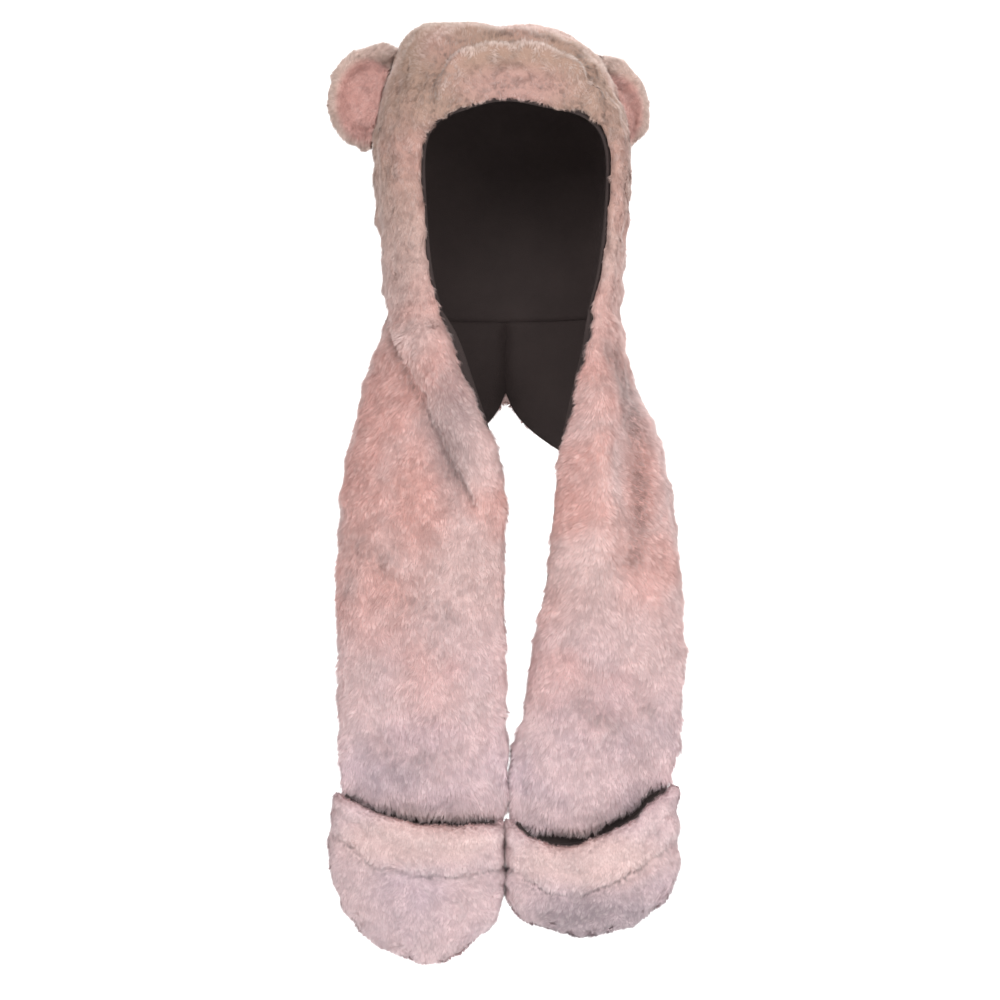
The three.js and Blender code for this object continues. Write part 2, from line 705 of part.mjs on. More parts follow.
// The pocket's fur front lies on its bag, thick at the rolled rim and with a
// crease where the rim's hem is stitched down.
function pocketFur(name, side) {
  const columns = 2 * PAW_CELLS.across;
  const rows = 2 * PAW_CELLS.down;
  const place = (across, down) => {
    const point = pawPoint(side, across, down);
    point.y -= BAG_BACK + 2 * BAG_CLOTH + puff(across, down);
    return point;
  };
  const cloth = sheet(columns, rows, place);
  const pile = (i, j) => {
    const edge = inward(Math.min(i, columns - i, 2 * (rows - j)) / columns, 0.2);
    const crease = 2.5 * Math.exp(-((j - 3) ** 2));
    return SEWN + mix(EDGE_PILE, PILE, edge) - crease + lock(i, j) * 0.7 * edge;
  };
  return named(name, wall(cloth, SEWN, pile, true), FUR_MAUVE);
}

function scarfSide(word, side) {
  const group = new THREE.Group();
  group.add(tailLining(`tail_lining_${word}`, side));
  group.add(tailFur(`tail_fur_${word}`, side));
  group.add(pocketBag(`pocket_bag_${word}`, side));
  group.add(pocketFur(`pocket_fur_${word}`, side));
  return group;
}

const hoodScarf = new THREE.Group();
hoodScarf.add(hood());
for (const place of EARS) hoodScarf.add(ear(place));
hoodScarf.add(scarfSide("left", LEFT));
hoodScarf.add(scarfSide("right", RIGHT));

export default hoodScarf;
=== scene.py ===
# %% [markdown]
# # A plush hood scarf
#
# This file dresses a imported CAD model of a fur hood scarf. The CAD solids give
# every size and place. Here they get smooth cloth, a pile of fur and a dark
# lining, lit and seen as in a shop photograph. Lengths are in metres: x runs to
# the picture's right, y away from the camera and z up.

# %% Load the frame
import math

import bpy
import bmesh
import numpy as np
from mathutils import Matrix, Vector
from mathutils.bvhtree import BVHTree
from mathutils.kdtree import KDTree


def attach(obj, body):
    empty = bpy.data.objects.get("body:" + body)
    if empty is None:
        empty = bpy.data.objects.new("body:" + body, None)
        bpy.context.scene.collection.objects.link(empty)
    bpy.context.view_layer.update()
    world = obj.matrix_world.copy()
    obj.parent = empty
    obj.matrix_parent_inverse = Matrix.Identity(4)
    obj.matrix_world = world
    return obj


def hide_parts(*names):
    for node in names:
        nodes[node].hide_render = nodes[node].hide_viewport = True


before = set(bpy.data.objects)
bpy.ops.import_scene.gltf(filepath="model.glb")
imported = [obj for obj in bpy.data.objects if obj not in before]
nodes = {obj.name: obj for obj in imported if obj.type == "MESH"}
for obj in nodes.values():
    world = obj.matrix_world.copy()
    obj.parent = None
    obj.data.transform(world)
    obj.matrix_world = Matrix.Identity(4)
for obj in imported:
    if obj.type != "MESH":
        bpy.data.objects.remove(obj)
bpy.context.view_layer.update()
print("nodes:", ", ".join(sorted(nodes)))

# %% [markdown]
# ## Camera
#
# The photograph was taken from about two metres, level with the middle of the
# scarf, so the camera looks straight along +Y. The lens is worked out from how
# wide a stretch the picture spans at the front of the scarf.

# %% Camera
SENSOR_WIDTH = 36
CAMERA_DISTANCE = 2.0
PICTURE_SPAN = 0.83
FRONT_PLANE = -0.06
PICTURE_MIDDLE = (-0.005, -0.390)

camera_data = bpy.data.cameras.new("camera")
camera_data.sensor_width = SENSOR_WIDTH
camera_data.lens = SENSOR_WIDTH * CAMERA_DISTANCE / PICTURE_SPAN
camera = bpy.data.objects.new("camera", camera_data)
camera.location = (PICTURE_MIDDLE[0], FRONT_PLANE - CAMERA_DISTANCE, PICTURE_MIDDLE[1])
camera.rotation_euler = (math.radians(90), 0, 0)
bpy.context.collection.objects.link(camera)
bpy.context.scene.camera = camera
print("lens:", round(camera_data.lens, 1), "mm")

# %% [markdown]
# ## Floor and wall
#
# The floor runs back and curves up into a wall, so that no horizon shows. It
# could be a plane and a wall, but the curve gives an even, pale background.

# %% Floor and wall
FLOOR_HEIGHT = -1.15
FLOOR_FRONT = -4.0
FLOOR_BACK = 2.2
HALF_WIDTH = 5.0
SWEEP_RADIUS = 1.2
SWEEP_STEPS = 12
WALL_TOP = 3.0


def sweep_profile():
    """Points (y, z) of the floor, the curve and the wall."""
    points = [(FLOOR_FRONT, FLOOR_HEIGHT), (FLOOR_BACK, FLOOR_HEIGHT)]
    for step in range(1, SWEEP_STEPS + 1):
        angle = math.radians(90 * step / SWEEP_STEPS)
        y = FLOOR_BACK + SWEEP_RADIUS * math.sin(angle)
        z = FLOOR_HEIGHT + SWEEP_RADIUS * (1 - math.cos(angle))
        points.append((y, z))
    return points + [(FLOOR_BACK + SWEEP_RADIUS, WALL_TOP)]


profile = sweep_profile()
floor_points = [(x, y, z) for y, z in profile for x in (-HALF_WIDTH, HALF_WIDTH)]
floor_faces = [(2 * i, 2 * i + 1, 2 * i + 3, 2 * i + 2) for i in range(len(profile) - 1)]
floor_mesh = bpy.data.meshes.new("floor")
floor_mesh.from_pydata(floor_points, [], floor_faces)
floor_mesh.polygons.foreach_set("use_smooth", [True] * len(floor_faces))
floor = bpy.data.objects.new("floor", floor_mesh)
bpy.context.collection.objects.link(floor)
print("floor:", len(floor_faces), "faces")

# %% [markdown]
# ## Light
#
# Small lamps would draw hard shadows between the strands. Three large area
# lights and a bright world keep them soft: one from the upper left, a weaker
# one from the right, and one that lights the wall.


# %% Light
def area_light(name, place, target, size, watts):
    """A square light at place that points at target."""
    data = bpy.data.lights.new(name, "AREA")
    data.size = size
    data.energy = watts
    light = bpy.data.objects.new(name, data)
    light.location = place
    aim = Vector(target) - Vector(place)
    light.rotation_euler = aim.to_track_quat("-Z", "Y").to_euler()
    bpy.context.collection.objects.link(light)


SCARF_MIDDLE = (0, 0, -0.38)
WALL_MIDDLE = (0, 2.5, -0.4)
WORLD_STRENGTH = 0.72
area_light("key", (-0.6, -2.6, 0.9), SCARF_MIDDLE, 1.4, 36)
area_light("fill", (1.5, -2.2, 0.0), SCARF_MIDDLE, 1.6, 22)
area_light("back", (0.6, 0.9, 1.3), WALL_MIDDLE, 1.6, 60)
world = bpy.data.worlds.new("world")
world.use_nodes = True
background = world.node_tree.nodes["Background"]
background.inputs["Color"].default_value = (1, 1, 1, 1)
background.inputs["Strength"].default_value = WORLD_STRENGTH
bpy.context.scene.world = world
bpy.context.scene.view_settings.view_transform = "Standard"
print("lights:", ", ".join(light.name for light in bpy.data.lights))

# %% [markdown]
# ## Sums of sockets
#
# A shader is a tree of nodes, and long sums of them are hard to read as links.
# This small class wraps a node's output, so that adding or multiplying two of
# them in plain Python makes the Math node.


# %% Sums of sockets
class Socket:
    """An output of a node, which takes part in sums."""

    def __init__(self, paint, output):
        self.paint = paint
        self.output = output

    def math(self, operation, *values):
        inputs = dict(enumerate(values))
        return self.paint.node("ShaderNodeMath", {"operation": operation}, inputs)[0]

    def __add__(self, other):
        return self.math("ADD", self, other)

    def __radd__(self, other):
        return self.math("ADD", other, self)

    def __sub__(self, other):
        return self.math("SUBTRACT", self, other)

    def __rsub__(self, other):
        return self.math("SUBTRACT", other, self)

    def __mul__(self, other):
        return self.math("MULTIPLY", self, other)

    def __rmul__(self, other):
        return self.math("MULTIPLY", other, self)


# %% [markdown]
# ## A material from nodes
#
# Every other node comes from one method, which takes the node's type, its
# settings and its inputs. The methods after it name the few nodes that this
# scarf's finishes use again and again: a mix, a noise, a smooth rise between
# two values, and a soft oval patch at a place on the cloth.


# %% A material from nodes
class Paint:
    """A material whose nodes are written one by one."""

    def __init__(self, name):
        self.material = bpy.data.materials.new(name)
        self.material.use_nodes = True
        self.tree = self.material.node_tree
        self.tree.nodes.clear()

    def node(self, kind, settings=None, inputs=None):
        made = self.tree.nodes.new(kind)
        for key, value in (settings or {}).items():
            setattr(made, key, value)
        for key, value in (inputs or {}).items():
            if isinstance(value, Socket):
                self.tree.links.new(value.output, made.inputs[key])
            else:
                made.inputs[key].default_value = value
        enabled = [output for output in made.outputs if output.enabled]
        return [Socket(self, output) for output in enabled]

    def attribute(self, name):
        """A number that is stored on the mesh, as the Fac output."""
        return self.node("ShaderNodeAttribute", {"attribute_name": name})[2]

    def vector(self, operation, *values):
        """Sums and lengths of places, which a Math node can't take."""
        inputs = dict(enumerate(values))
        return self.node("ShaderNodeVectorMath", {"operation": operation}, inputs)[0]

    def mix(self, share, first, second, blend="MIX"):
        """A colour between two others."""
        settings = {"data_type": "RGBA", "blend_type": blend}
        return self.node("ShaderNodeMix", settings, {0: share, 6: first, 7: second})[0]

    def noise(self, vector, scale, detail):
        inputs = {"Vector": vector, "Scale": scale, "Detail": detail}
        return self.node("ShaderNodeTexNoise", None, inputs)[0]

    def span(self, value, low, high):
        """0 below low, 1 above high, and a smooth rise between."""
        settings = {"interpolation_type": "SMOOTHSTEP"}
        inputs = {"Value": value, "From Min": low, "From Max": high}
        return self.node("ShaderNodeMapRange", settings, inputs)[0]

    def patch(self, place, centre, radii, inner=0.2):
        """1 in a soft oval patch, out to its inner part, and 0 outside."""
        away = self.vector("SUBTRACT", place, centre)
        scaled = self.vector("MULTIPLY", away, [1 / radius for radius in radii])
        return 1 - self.span(self.vector("LENGTH", scaled), inner, 1.0)

    def surface(self, inputs):
        shader = self.node("ShaderNodeBsdfPrincipled", None, inputs)[0]
        self.node("ShaderNodeOutputMaterial", None, {"Surface": shader})
        return self.material


# %% [markdown]
# ## Fur colours
#
# The fur is tan at the crown, dusty pink below it and cooler mauve towards the
# paws, with warmer salmon patches. One image could paint all this, but noise
# and soft patches need no picture and stay sharp at any distance. Tints lie on
# the brow band, the lapel, the pockets' hems, low on both tails and on the
# lower right paw. The lapel's mauve is a dusty colour and also painted shade of
# the lapel's roll.


# %% Fur colours
# Each pair is the usual colour and the one of warm or cool places.
CROWN_TAN = (0.40, 0.25, 0.182, 1), (0.45, 0.258, 0.208, 1)
TAIL_PINK = (0.70, 0.49, 0.47, 1), (0.70, 0.385, 0.345, 1)
PAW_MAUVE = (0.73, 0.55, 0.57, 1), (0.62, 0.48, 0.54, 1)
PINK_TO_TAN = -0.34, -0.02
MAUVE_TO_PINK = -0.66, -0.42
SALMON_PATCHES = [
    ((-0.075, -0.07, -0.385), (0.045, 0.09, 0.085)),
    ((0.112, -0.06, -0.375), (0.026, 0.09, 0.080)),
]
PINK = (0.68, 0.36, 0.32, 1)
GREY = (0.42, 0.33, 0.37, 1)
# The lapel's dusty mauve, darkened further as painted shade of its roll.
MAUVE = (0.41, 0.285, 0.285, 1)
TAN = (0.59, 0.43, 0.37, 1)
PEACH = (0.76, 0.55, 0.52, 1)
ROSE = (0.57, 0.32, 0.29, 1)
# Each tint: centre, radii, inner part, colour, share.
SCARF_TINTS = [
    ((0.006, -0.10, -0.054), (0.0700, 0.09, 0.0280), 0.3, ROSE, 0.6),
    # The lapel: a dusty mauve tint that is also painted shade of the roll.
    ((-0.045, -0.10, -0.330), (0.0340, 0.09, 0.0800), 0.3, MAUVE, 0.7),
    ((-0.070, -0.10, -0.668), (0.0900, 0.09, 0.0300), 0.4, PEACH, 0.7),
    ((0.068, -0.10, -0.684), (0.0900, 0.09, 0.0300), 0.4, PEACH, 0.7),
    ((0.078, -0.09, -0.742), (0.0840, 0.09, 0.0440), 0.4, GREY, 0.9),
    ((0.110, -0.08, -0.590), (0.0450, 0.09, 0.0300), 0.2, GREY, 0.35),
    ((-0.090, -0.08, -0.620), (0.0400, 0.09, 0.0240), 0.2, GREY, 0.30),
]
EAR_TINTS = [
    ((0, 0, -0.050), (0.3, 0.3, 0.3), 0.9, TAN, 0.8),
    ((-0.117, 0.001, -0.050), (0.0320, 0.019, 0.0420), 0.75, PINK, 0.9),
    ((0.093, 0.010, -0.057), (0.0280, 0.019, 0.0370), 0.75, PINK, 0.85),
]


def fur_colour(paint, tints):
    """The colour of the fur at a place on the scarf, and the place's noise."""
    place = paint.node("ShaderNodeTexCoord")[3]
    height = paint.node("ShaderNodeSeparateXYZ", None, {0: place})[2]
    broad = paint.noise(place, 11.0, 2.0)
    warm = paint.span(broad, 0.42, 0.66)
    cool = paint.span(paint.noise(place, 17.0, 2.0), 0.40, 0.8)
    for centre, radii in SALMON_PATCHES:
        warm = warm.math("MAXIMUM", warm, paint.patch(place, centre, radii))
    pink = paint.mix(warm, *TAIL_PINK)
    tan = paint.mix(warm, *CROWN_TAN)
    mauve = paint.mix(cool, *PAW_MAUVE)
    upper = paint.span(height, *PINK_TO_TAN)
    lower = paint.span(height, *MAUVE_TO_PINK)
    colour = paint.mix(lower, mauve, paint.mix(upper, pink, tan))
    for centre, radii, inner, tint, share in tints:
        spot = share * paint.patch(place, centre, radii, inner)
        colour = paint.mix(spot, colour, tint)
    return colour, place


print("patches and tints:", len(SALMON_PATCHES) + len(SCARF_TINTS) + len(EAR_TINTS))

# %% [markdown]
# ## Fur and its backing
#
# Each strand is darker and redder at its root and paler at its tip, and whole
# tufts differ a little. In a fold the colour is darkened as painted shade, and on
# a crest the tips are paled as a painted highlight. Real pile scatters light
# inside itself. A little sheen stands for that, and costs far less than hair
# shading. The backing only shows in the partings.


# %% Fur and its backing
ROOT_SHADE = (0.93, 0.85, 0.83, 1)
PALE_TIP = (0.96, 0.84, 0.81, 1)
DUSTY = (0.90, 0.78, 0.76, 1)


def fur_material(name, tints):
    """The strands. Numbers stored on each strand vary its colour."""
    paint = Paint(name)
    colour, place = fur_colour(paint, tints)
    shades = paint.span(paint.noise(place, 40.0, 2.0), 0.35, 0.7)
    along = paint.attribute("along")
    tuft = paint.attribute("tuft")
    own = paint.attribute("own")
    crease = paint.attribute("crease")
    crest = paint.attribute("crest")
    root = paint.mix(1.0, colour, ROOT_SHADE, "MULTIPLY")
    # Paler tips, and on a crest they are paled further as a painted highlight.
    tip = paint.mix(along * (0.1 + 0.3 * tuft) + 0.2 * crest, colour, PALE_TIP)
    strand = paint.mix(paint.span(along, 0.0, 0.7), root, tip)
    # Random tone per strand and tuft, and painted shade that darkens the fur in a
    # crease.
    level = 0.74 + 0.18 * own + 0.2 * tuft + 0.14 * shades - 0.5 * crease
    grey = paint.node("ShaderNodeCombineColor", None, {0: level, 1: level, 2: level})[0]
    final = paint.mix(1.0, strand, grey, "MULTIPLY")
    return paint.surface(
        {
            "Base Color": final,
            "Roughness": 0.6,
            "Specular IOR Level": 0.3,
            "Sheen Weight": 0.22,
            "Sheen Roughness": 0.4,
        }
    )


def pelt_material(name, tints):
    """The backing cloth under the fur, which only shows in the partings."""
    paint = Paint(name)
    colour, place = fur_colour(paint, tints)
    grain = paint.noise(place, 420.0, 3.0)
    speckle = paint.mix(grain, (0.74, 0.70, 0.69, 1), (0.92, 0.90, 0.89, 1))
    bump = paint.node("ShaderNodeBump", None, {"Height": grain, "Distance": 0.001})[0]
    faded = paint.mix(0.08, colour, DUSTY)
    base = paint.mix(1.0, faded, speckle, "MULTIPLY")
    return paint.surface({"Base Color": base, "Roughness": 0.9, "Normal": bump})


FUR = fur_material("plush_fur", SCARF_TINTS)
PELT = pelt_material("pelt", SCARF_TINTS)
EAR_FUR = fur_material("ear_fur", EAR_TINTS)
EAR_PELT = pelt_material("ear_pelt", EAR_TINTS)
print("fur shader:", len(FUR.node_tree.nodes), "nodes")

# %% [markdown]
# ## Paper for the backdrop
#
# The backdrop is white paper. A hint of noise keeps it from being one flat
# colour, which would look drawn and not photographed.


# %% Paper for the backdrop
def paper_material():
    paint = Paint("white_paper")
    place = paint.node("ShaderNodeTexCoord")[3]
    grain = paint.noise(place, 6.0, 4.0)
    colour = paint.mix(grain, (0.90, 0.90, 0.90, 1), (0.94, 0.94, 0.94, 1))
    return paint.surface({"Base Color": colour, "Roughness": 0.9})


floor_mesh.materials.append(paper_material())
print("backdrop:", floor_mesh.materials[0].name)

# %% [markdown]
# ## Lining colour
#
# The lining is a dark brown fleece. Fine noise gives it a brushed surface, and
# a little sheen catches the light where it turns away.


# %% Lining colour
def lining_material():
    paint = Paint("brown_lining")
    place = paint.node("ShaderNodeTexCoord")[3]
    fine = paint.noise(place, 900.0, 2.0)
    broad = paint.noise(place, 26.0, 3.0)
    colour = paint.mix(broad, (0.034, 0.024, 0.023, 1), (0.056, 0.040, 0.038, 1))
    inputs = {"Height": fine + 0.6 * broad, "Distance": 0.0006, "Strength": 0.7}
    bump = paint.node("ShaderNodeBump", None, inputs)[0]
    return paint.surface(
        {
            "Base Color": colour,
            "Roughness": 0.82,
            "Specular IOR Level": 0.25,
            "Sheen Weight": 0.12,
            "Sheen Roughness": 0.45,
            "Sheen Tint": (0.5, 0.38, 0.36, 1),
            "Normal": bump,
        }
    )


LINING = lining_material()
print("lining shader:", len(LINING.node_tree.nodes), "nodes")

# %% [markdown]
# ## Meshes as arrays
#
# Numpy is much faster than Blender's Python loops, so a mesh is read into
# arrays, changed there, and written back once.


# %% Meshes as arrays
def read_mesh(mesh):
    """Points, and corners of the triangles."""
    mesh.calc_loop_triangles()
    points = np.empty(3 * len(mesh.vertices), np.float32)
    mesh.vertices.foreach_get("co", points)
    corners = np.empty(3 * len(mesh.loop_triangles), np.int32)
    mesh.loop_triangles.foreach_get("vertices", corners)
    return points.reshape(-1, 3).astype(float), corners.reshape(-1, 3)


def new_piece(name, mesh, material):
    """A visible piece that rides with the scarf."""
    piece = bpy.data.objects.new(name, mesh)
    mesh.materials.append(material)
    bpy.context.collection.objects.link(piece)
    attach(piece, "root")
    return piece


def normalised(vectors):
    length = np.linalg.norm(vectors, axis=1, keepdims=True)
    return vectors / np.maximum(length, 1e-9)


def vertex_normals(points, corners):
    a, b, c = (points[corners[:, k]] for k in range(3))
    cross = np.cross(b - a, c - a)
    total = np.zeros_like(points)
    for k in range(3):
        np.add.at(total, corners[:, k], cross)
    return normalised(total)


def relaxed(points, corners, rounds):
    """Each point moves half way towards the mean of its neighbours."""
    pairs = np.concatenate([corners[:, [0, 1]], corners[:, [1, 2]], corners[:, [2, 0]]])
    count = np.zeros(len(points))
    np.add.at(count, pairs[:, 0], 1)
    for _ in range(rounds):
        total = np.zeros_like(points)
        np.add.at(total, pairs[:, 0], points[pairs[:, 1]])
        points = points + 0.5 * (total / np.maximum(count, 1)[:, None] - points)
    return points


def smoothstep(value, low, high):
    """0 below low, 1 above high, and a smooth rise between."""
    t = np.clip((value - low) / (high - low), 0, 1)
    return t * t * (3 - 2 * t)


print("CAD triangles:", sum(len(read_mesh(node.data)[1]) for node in nodes.values()))

# %% [markdown]
# ## Smooth linings
#
# The dark lining backs the hood and the tails and makes the bags of the hand
# pockets. Its solids are made of flat cells. Joining their triangles into quads
# and subdividing them twice rounds them into cloth. The wall is thin, so its
# rim is creased first, or the subdivision would draw the edge in.


# %% Smooth linings
NECK_SEAM = -0.232
NECK_REACH = 0.0011
NAPE_REACH = 0.0014
FLAT_ANGLE = math.radians(50)
RIM_ANGLE = math.radians(55)
ANY_SHAPE = 3.1
ROUNDINGS = 2


def apply_modifiers(piece):
    """The piece keeps the shape that its modifiers give it."""
    graph = bpy.context.evaluated_depsgraph_get()
    shaped = bpy.data.meshes.new_from_object(piece.evaluated_get(graph))
    piece.modifiers.clear()
    piece.data = shaped
    shaped.polygons.foreach_set("use_smooth", [True] * len(shaped.polygons))


def write_points(mesh, points):
    mesh.vertices.foreach_set("co", points.astype(np.float32).ravel())
    mesh.update()


def meet_seams(mesh, nape):
    """Edges that are sewn together end exactly on the neck's or nape's seam."""
    points = read_mesh(mesh)[0]
    points[np.abs(points[:, 2] - NECK_SEAM) < NECK_REACH, 2] = NECK_SEAM
    if nape:
        points[np.abs(points[:, 0]) < NAPE_REACH, 0] = 0.0
    write_points(mesh, points)


def smooth_lining(name, node, nape):
    mesh = nodes[node].data.copy()
    mesh.name = name
    mesh.materials.clear()
    build = bmesh.new()
    build.from_mesh(mesh)
    bmesh.ops.remove_doubles(build, verts=build.verts, dist=1e-5)
    every = {"angle_face_threshold": FLAT_ANGLE, "angle_shape_threshold": ANY_SHAPE}
    bmesh.ops.join_triangles(build, faces=build.faces, **every)
    crease = build.edges.layers.float.new("crease_edge")
    for edge in build.edges:
        if len(edge.link_faces) == 2 and edge.calc_face_angle() > RIM_ANGLE:
            edge[crease] = 1.0
    build.to_mesh(mesh)
    build.free()
    piece = new_piece(name, mesh, LINING)
    modifier = piece.modifiers.new("round", "SUBSURF")
    modifier.levels = modifier.render_levels = ROUNDINGS
    apply_modifiers(piece)
    meet_seams(piece.data, nape)
    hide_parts(node)
    print(name, len(piece.data.polygons), "faces")


# Each lining: node, flat size, flat area, how it is held, whether it meets the nape.
LININGS = [
    ("hood_lining", (0.52, 0.33), 0.13, "stretched", False),
    ("tail_lining_left", (0.17, 0.6), 0.085, "hung", True),
    ("tail_lining_right", (0.17, 0.6), 0.078, "hung", True),
    ("pocket_bag_left", (0.14, 0.25), 0.03, "hung", False),
    ("pocket_bag_right", (0.14, 0.2), 0.024, "hung", False),
]
for node, flat, area, held, nape in LININGS:
    smooth_lining(node + "_cloth", node, nape)

# %% [markdown]
# ## Fold lines
#
# Cloth that is sewn and turned keeps a few lasting folds: the roll over the
# brow, the lapel that runs down from the cheek, the parting on the other tail
# and the creases under the pockets' hems. A cloth simulation would find folds
# of its own. These are known, so each is a line as the eye sees it from the
# front, in x and z. Near a line the cloth sinks, or rises where the depth is
# negative, and above the line a bank may stand up.

# %% Fold lines
SCARF_FOLDS = [
    {"line": [(-0.054, -0.052), (-0.042, -0.031), (-0.018, -0.023), (0.014, -0.022),
              (0.036, -0.026), (0.056, -0.036), (0.074, -0.056)],
     "depth": -0.0075, "width": 0.0062},
    {"line": [(-0.058, -0.040), (-0.045, -0.020), (-0.018, -0.011), (0.014, -0.010),
              (0.036, -0.014), (0.058, -0.024), (0.076, -0.044)],
     "depth": 0.0036, "width": 0.0050},
    {"line": [(-0.050, -0.072), (-0.030, -0.058), (0.006, -0.052), (0.040, -0.056),
              (0.064, -0.068)],
     "depth": 0.0030, "width": 0.0050},
    {"line": [(-0.043, -0.024), (-0.056, -0.044), (-0.061, -0.074)],
     "depth": 0.0038, "width": 0.0040},
    {"line": [(0.068, -0.038), (0.079, -0.056), (0.083, -0.078)],
     "depth": 0.0034, "width": 0.0040},
    {"line": [(-0.101, -0.225), (-0.096, -0.246), (-0.084, -0.272), (-0.067, -0.306),
              (-0.051, -0.344), (-0.037, -0.370), (-0.028, -0.386)],
     "depth": 0.0056, "width": 0.0040, "step": 0.0068, "facing": (-0.7, -0.2)},
    {"line": [(0.088, -0.265), (0.102, -0.300), (0.109, -0.350), (0.109, -0.400),
              (0.105, -0.440)],
     "depth": 0.0036, "width": 0.0080},
    {"line": [(0.074, -0.290), (0.080, -0.345), (0.081, -0.400), (0.077, -0.450)],
     "depth": -0.0028, "width": 0.0090},
    {"line": [(-0.122, -0.420), (-0.080, -0.470), (-0.050, -0.480)],
     "depth": 0.0018, "width": 0.0110},
    {"line": [(-0.120, -0.588), (-0.090, -0.604), (-0.050, -0.598)],
     "depth": 0.0016, "width": 0.0090},
    {"line": [(0.060, -0.560), (0.090, -0.575), (0.120, -0.560)],
     "depth": 0.0016, "width": 0.0090},
]
FOLDS = {
    "scarf": SCARF_FOLDS,
    "pocket_left": [
        {"line": [(-0.139, -0.664), (-0.106, -0.687), (-0.071, -0.695), (-0.038, -0.695),
                  (-0.002, -0.689)],
         "depth": 0.0040, "width": 0.0042, "step": 0.0028},
        {"line": [(-0.136, -0.641), (-0.105, -0.657), (-0.071, -0.667), (-0.038, -0.668),
                  (-0.004, -0.665)],
         "depth": -0.0028, "width": 0.0050},
    ],
    "pocket_right": [
        {"line": [(0.004, -0.690), (0.032, -0.708), (0.061, -0.712), (0.095, -0.697),
                  (0.138, -0.668)],
         "depth": 0.0042, "width": 0.0042, "step": 0.0030},
        {"line": [(0.004, -0.664), (0.032, -0.685), (0.061, -0.686), (0.095, -0.676),
                  (0.131, -0.643)],
         "depth": -0.0028, "width": 0.0050},
        {"line": [(0.030, -0.728), (0.062, -0.731), (0.090, -0.722)],
         "depth": 0.0016, "width": 0.0040},
        {"line": [(0.096, -0.712), (0.118, -0.700), (0.132, -0.686)],
         "depth": 0.0014, "width": 0.0036},
    ],
}
print("fold lines:", sum(len(folds) for folds in FOLDS.values()))

# %% [markdown]
# ## Folding the cloth
#
# A fold moves the cloth along its normal by a bell curve over the distance to
# the fold's line. Only cloth that faces the front takes part, and slow waves
# make each fold uneven. The same sum tells the fur where it lies in a crease and
# where on a crest: the fur's colour is darkened in a crease as painted shade and
# paled on a crest as a painted highlight.


# %% Folding the cloth
STEP_WIDTH = 0.0015
BANK_REACH = 2.6
FULL_SHADE = 0.004


def wave_noise(points, wavelength, seed, waves=14):
    """A smooth random number of about -1 to 1 at each point."""
    random = np.random.default_rng(seed)
    direction = normalised(random.normal(size=(waves, 3)))
    rate = 2 * math.pi / (wavelength * random.uniform(0.7, 1.5, waves))
    phase = random.uniform(0, 2 * math.pi, waves)
    angle = points @ (direction * rate[:, None]).T + phase
    return np.sin(angle).sum(axis=1) / math.sqrt(waves)


def to_line(points, line):
    """Distance to a line in the x-z plane, and the side: plus is above it."""
    flat = points[:, [0, 2]]
    nearest = np.full(len(points), 1e9)
    side = np.zeros(len(points))
    for start, end in zip(np.array(line[:-1]), np.array(line[1:])):
        along = end - start
        share = np.clip((flat - start) @ along / (along @ along), 0, 1)
        gap = flat - start - share[:, None] * along
        reach = np.linalg.norm(gap, axis=1)
        closer = reach < nearest
        cross = along[0] * gap[:, 1] - along[1] * gap[:, 0]
        nearest = np.where(closer, reach, nearest)
        side = np.where(closer, np.sign(cross), side)
    return nearest, side


def fold_shape(points, normals, folds):
    """How far the cloth moves out, and its crease and crest, from 0 to 1."""
    uneven = 0.85 + 0.15 * wave_noise(points, 0.03, 7)
    move = np.zeros(len(points))
    crease = np.zeros(len(points))
    crest = np.zeros(len(points))
    for fold in folds:
        width, depth, step = fold["width"], fold["depth"], fold.get("step", 0.0)
        low, high = fold.get("facing", (-0.1, 0.35))
        front = uneven * smoothstep(-normals[:, 1], low, high)
        reach, side = to_line(points, fold["line"])
        valley = np.exp(-((reach / width) ** 2))
        over = np.exp(-((reach / (BANK_REACH * width)) ** 2))
        rise = over * np.tanh(side * reach / STEP_WIDTH)
        under = valley * smoothstep(-side * reach, -STEP_WIDTH, STEP_WIDTH)
        trough = np.where(step > 0, under, valley)
        move += front * (0.5 * step * rise - depth * trough)
        dark, light, bank = (
            np.clip(height / FULL_SHADE, 0, 1) for height in (depth, -depth, step)
        )
        # The crease and crest shares give the fur's painted shade and painted highlight.
        crease = np.maximum(crease, front * trough * dark)
        crest = np.maximum(crest, front * valley * light)
        crest = np.maximum(crest, front * np.clip(rise, 0, 1) * bank)
    return move, np.clip(crease, 0, 1), np.clip(crest, 0, 1)


# %% [markdown]
# ## Measuring the fur solids
#
# Fur grows only where air can reach it. A search tree of each lining finds the
# places that lie against it, and a ray through the solid finds how thick the
# fur is there.


# %% Measuring the fur solids
LINING_SEARCH = 0.006
TOUCHING = 0.0008
BEHIND = 0.0045
FACING = 0.45
RAY_START = 0.0004
DEEPEST = 0.03


def tree_of(points, corners):
    return BVHTree.FromPolygons(points.tolist(), corners.tolist())


def covered_share(points, normals, others):
    """1 where another solid lies against the surface, so that no fur grows."""
    covered = np.zeros(len(points))
    for other in others:
        tree = tree_of(*read_mesh(nodes[other].data))
        for i, (point, normal) in enumerate(zip(points, normals)):
            place, _, _, reach = tree.find_nearest(Vector(point), LINING_SEARCH)
            if place is None:
                continue
            facing = (np.array(place) - point) @ normal / max(reach, 1e-6)
            if reach < TOUCHING or (reach < BEHIND and facing > FACING):
                covered[i] = 1.0
    return covered


def local_depth(points, normals, corners):
    """Thickness of the solid under each point."""
    own = tree_of(points, corners)
    depth = np.full(len(points), DEEPEST)
    for i, (point, normal) in enumerate(zip(points, normals)):
        start = Vector(point - RAY_START * normal)
        reach = own.ray_cast(start, Vector(-normal), DEEPEST)[3]
        if reach is not None:
            depth[i] = reach
    return depth


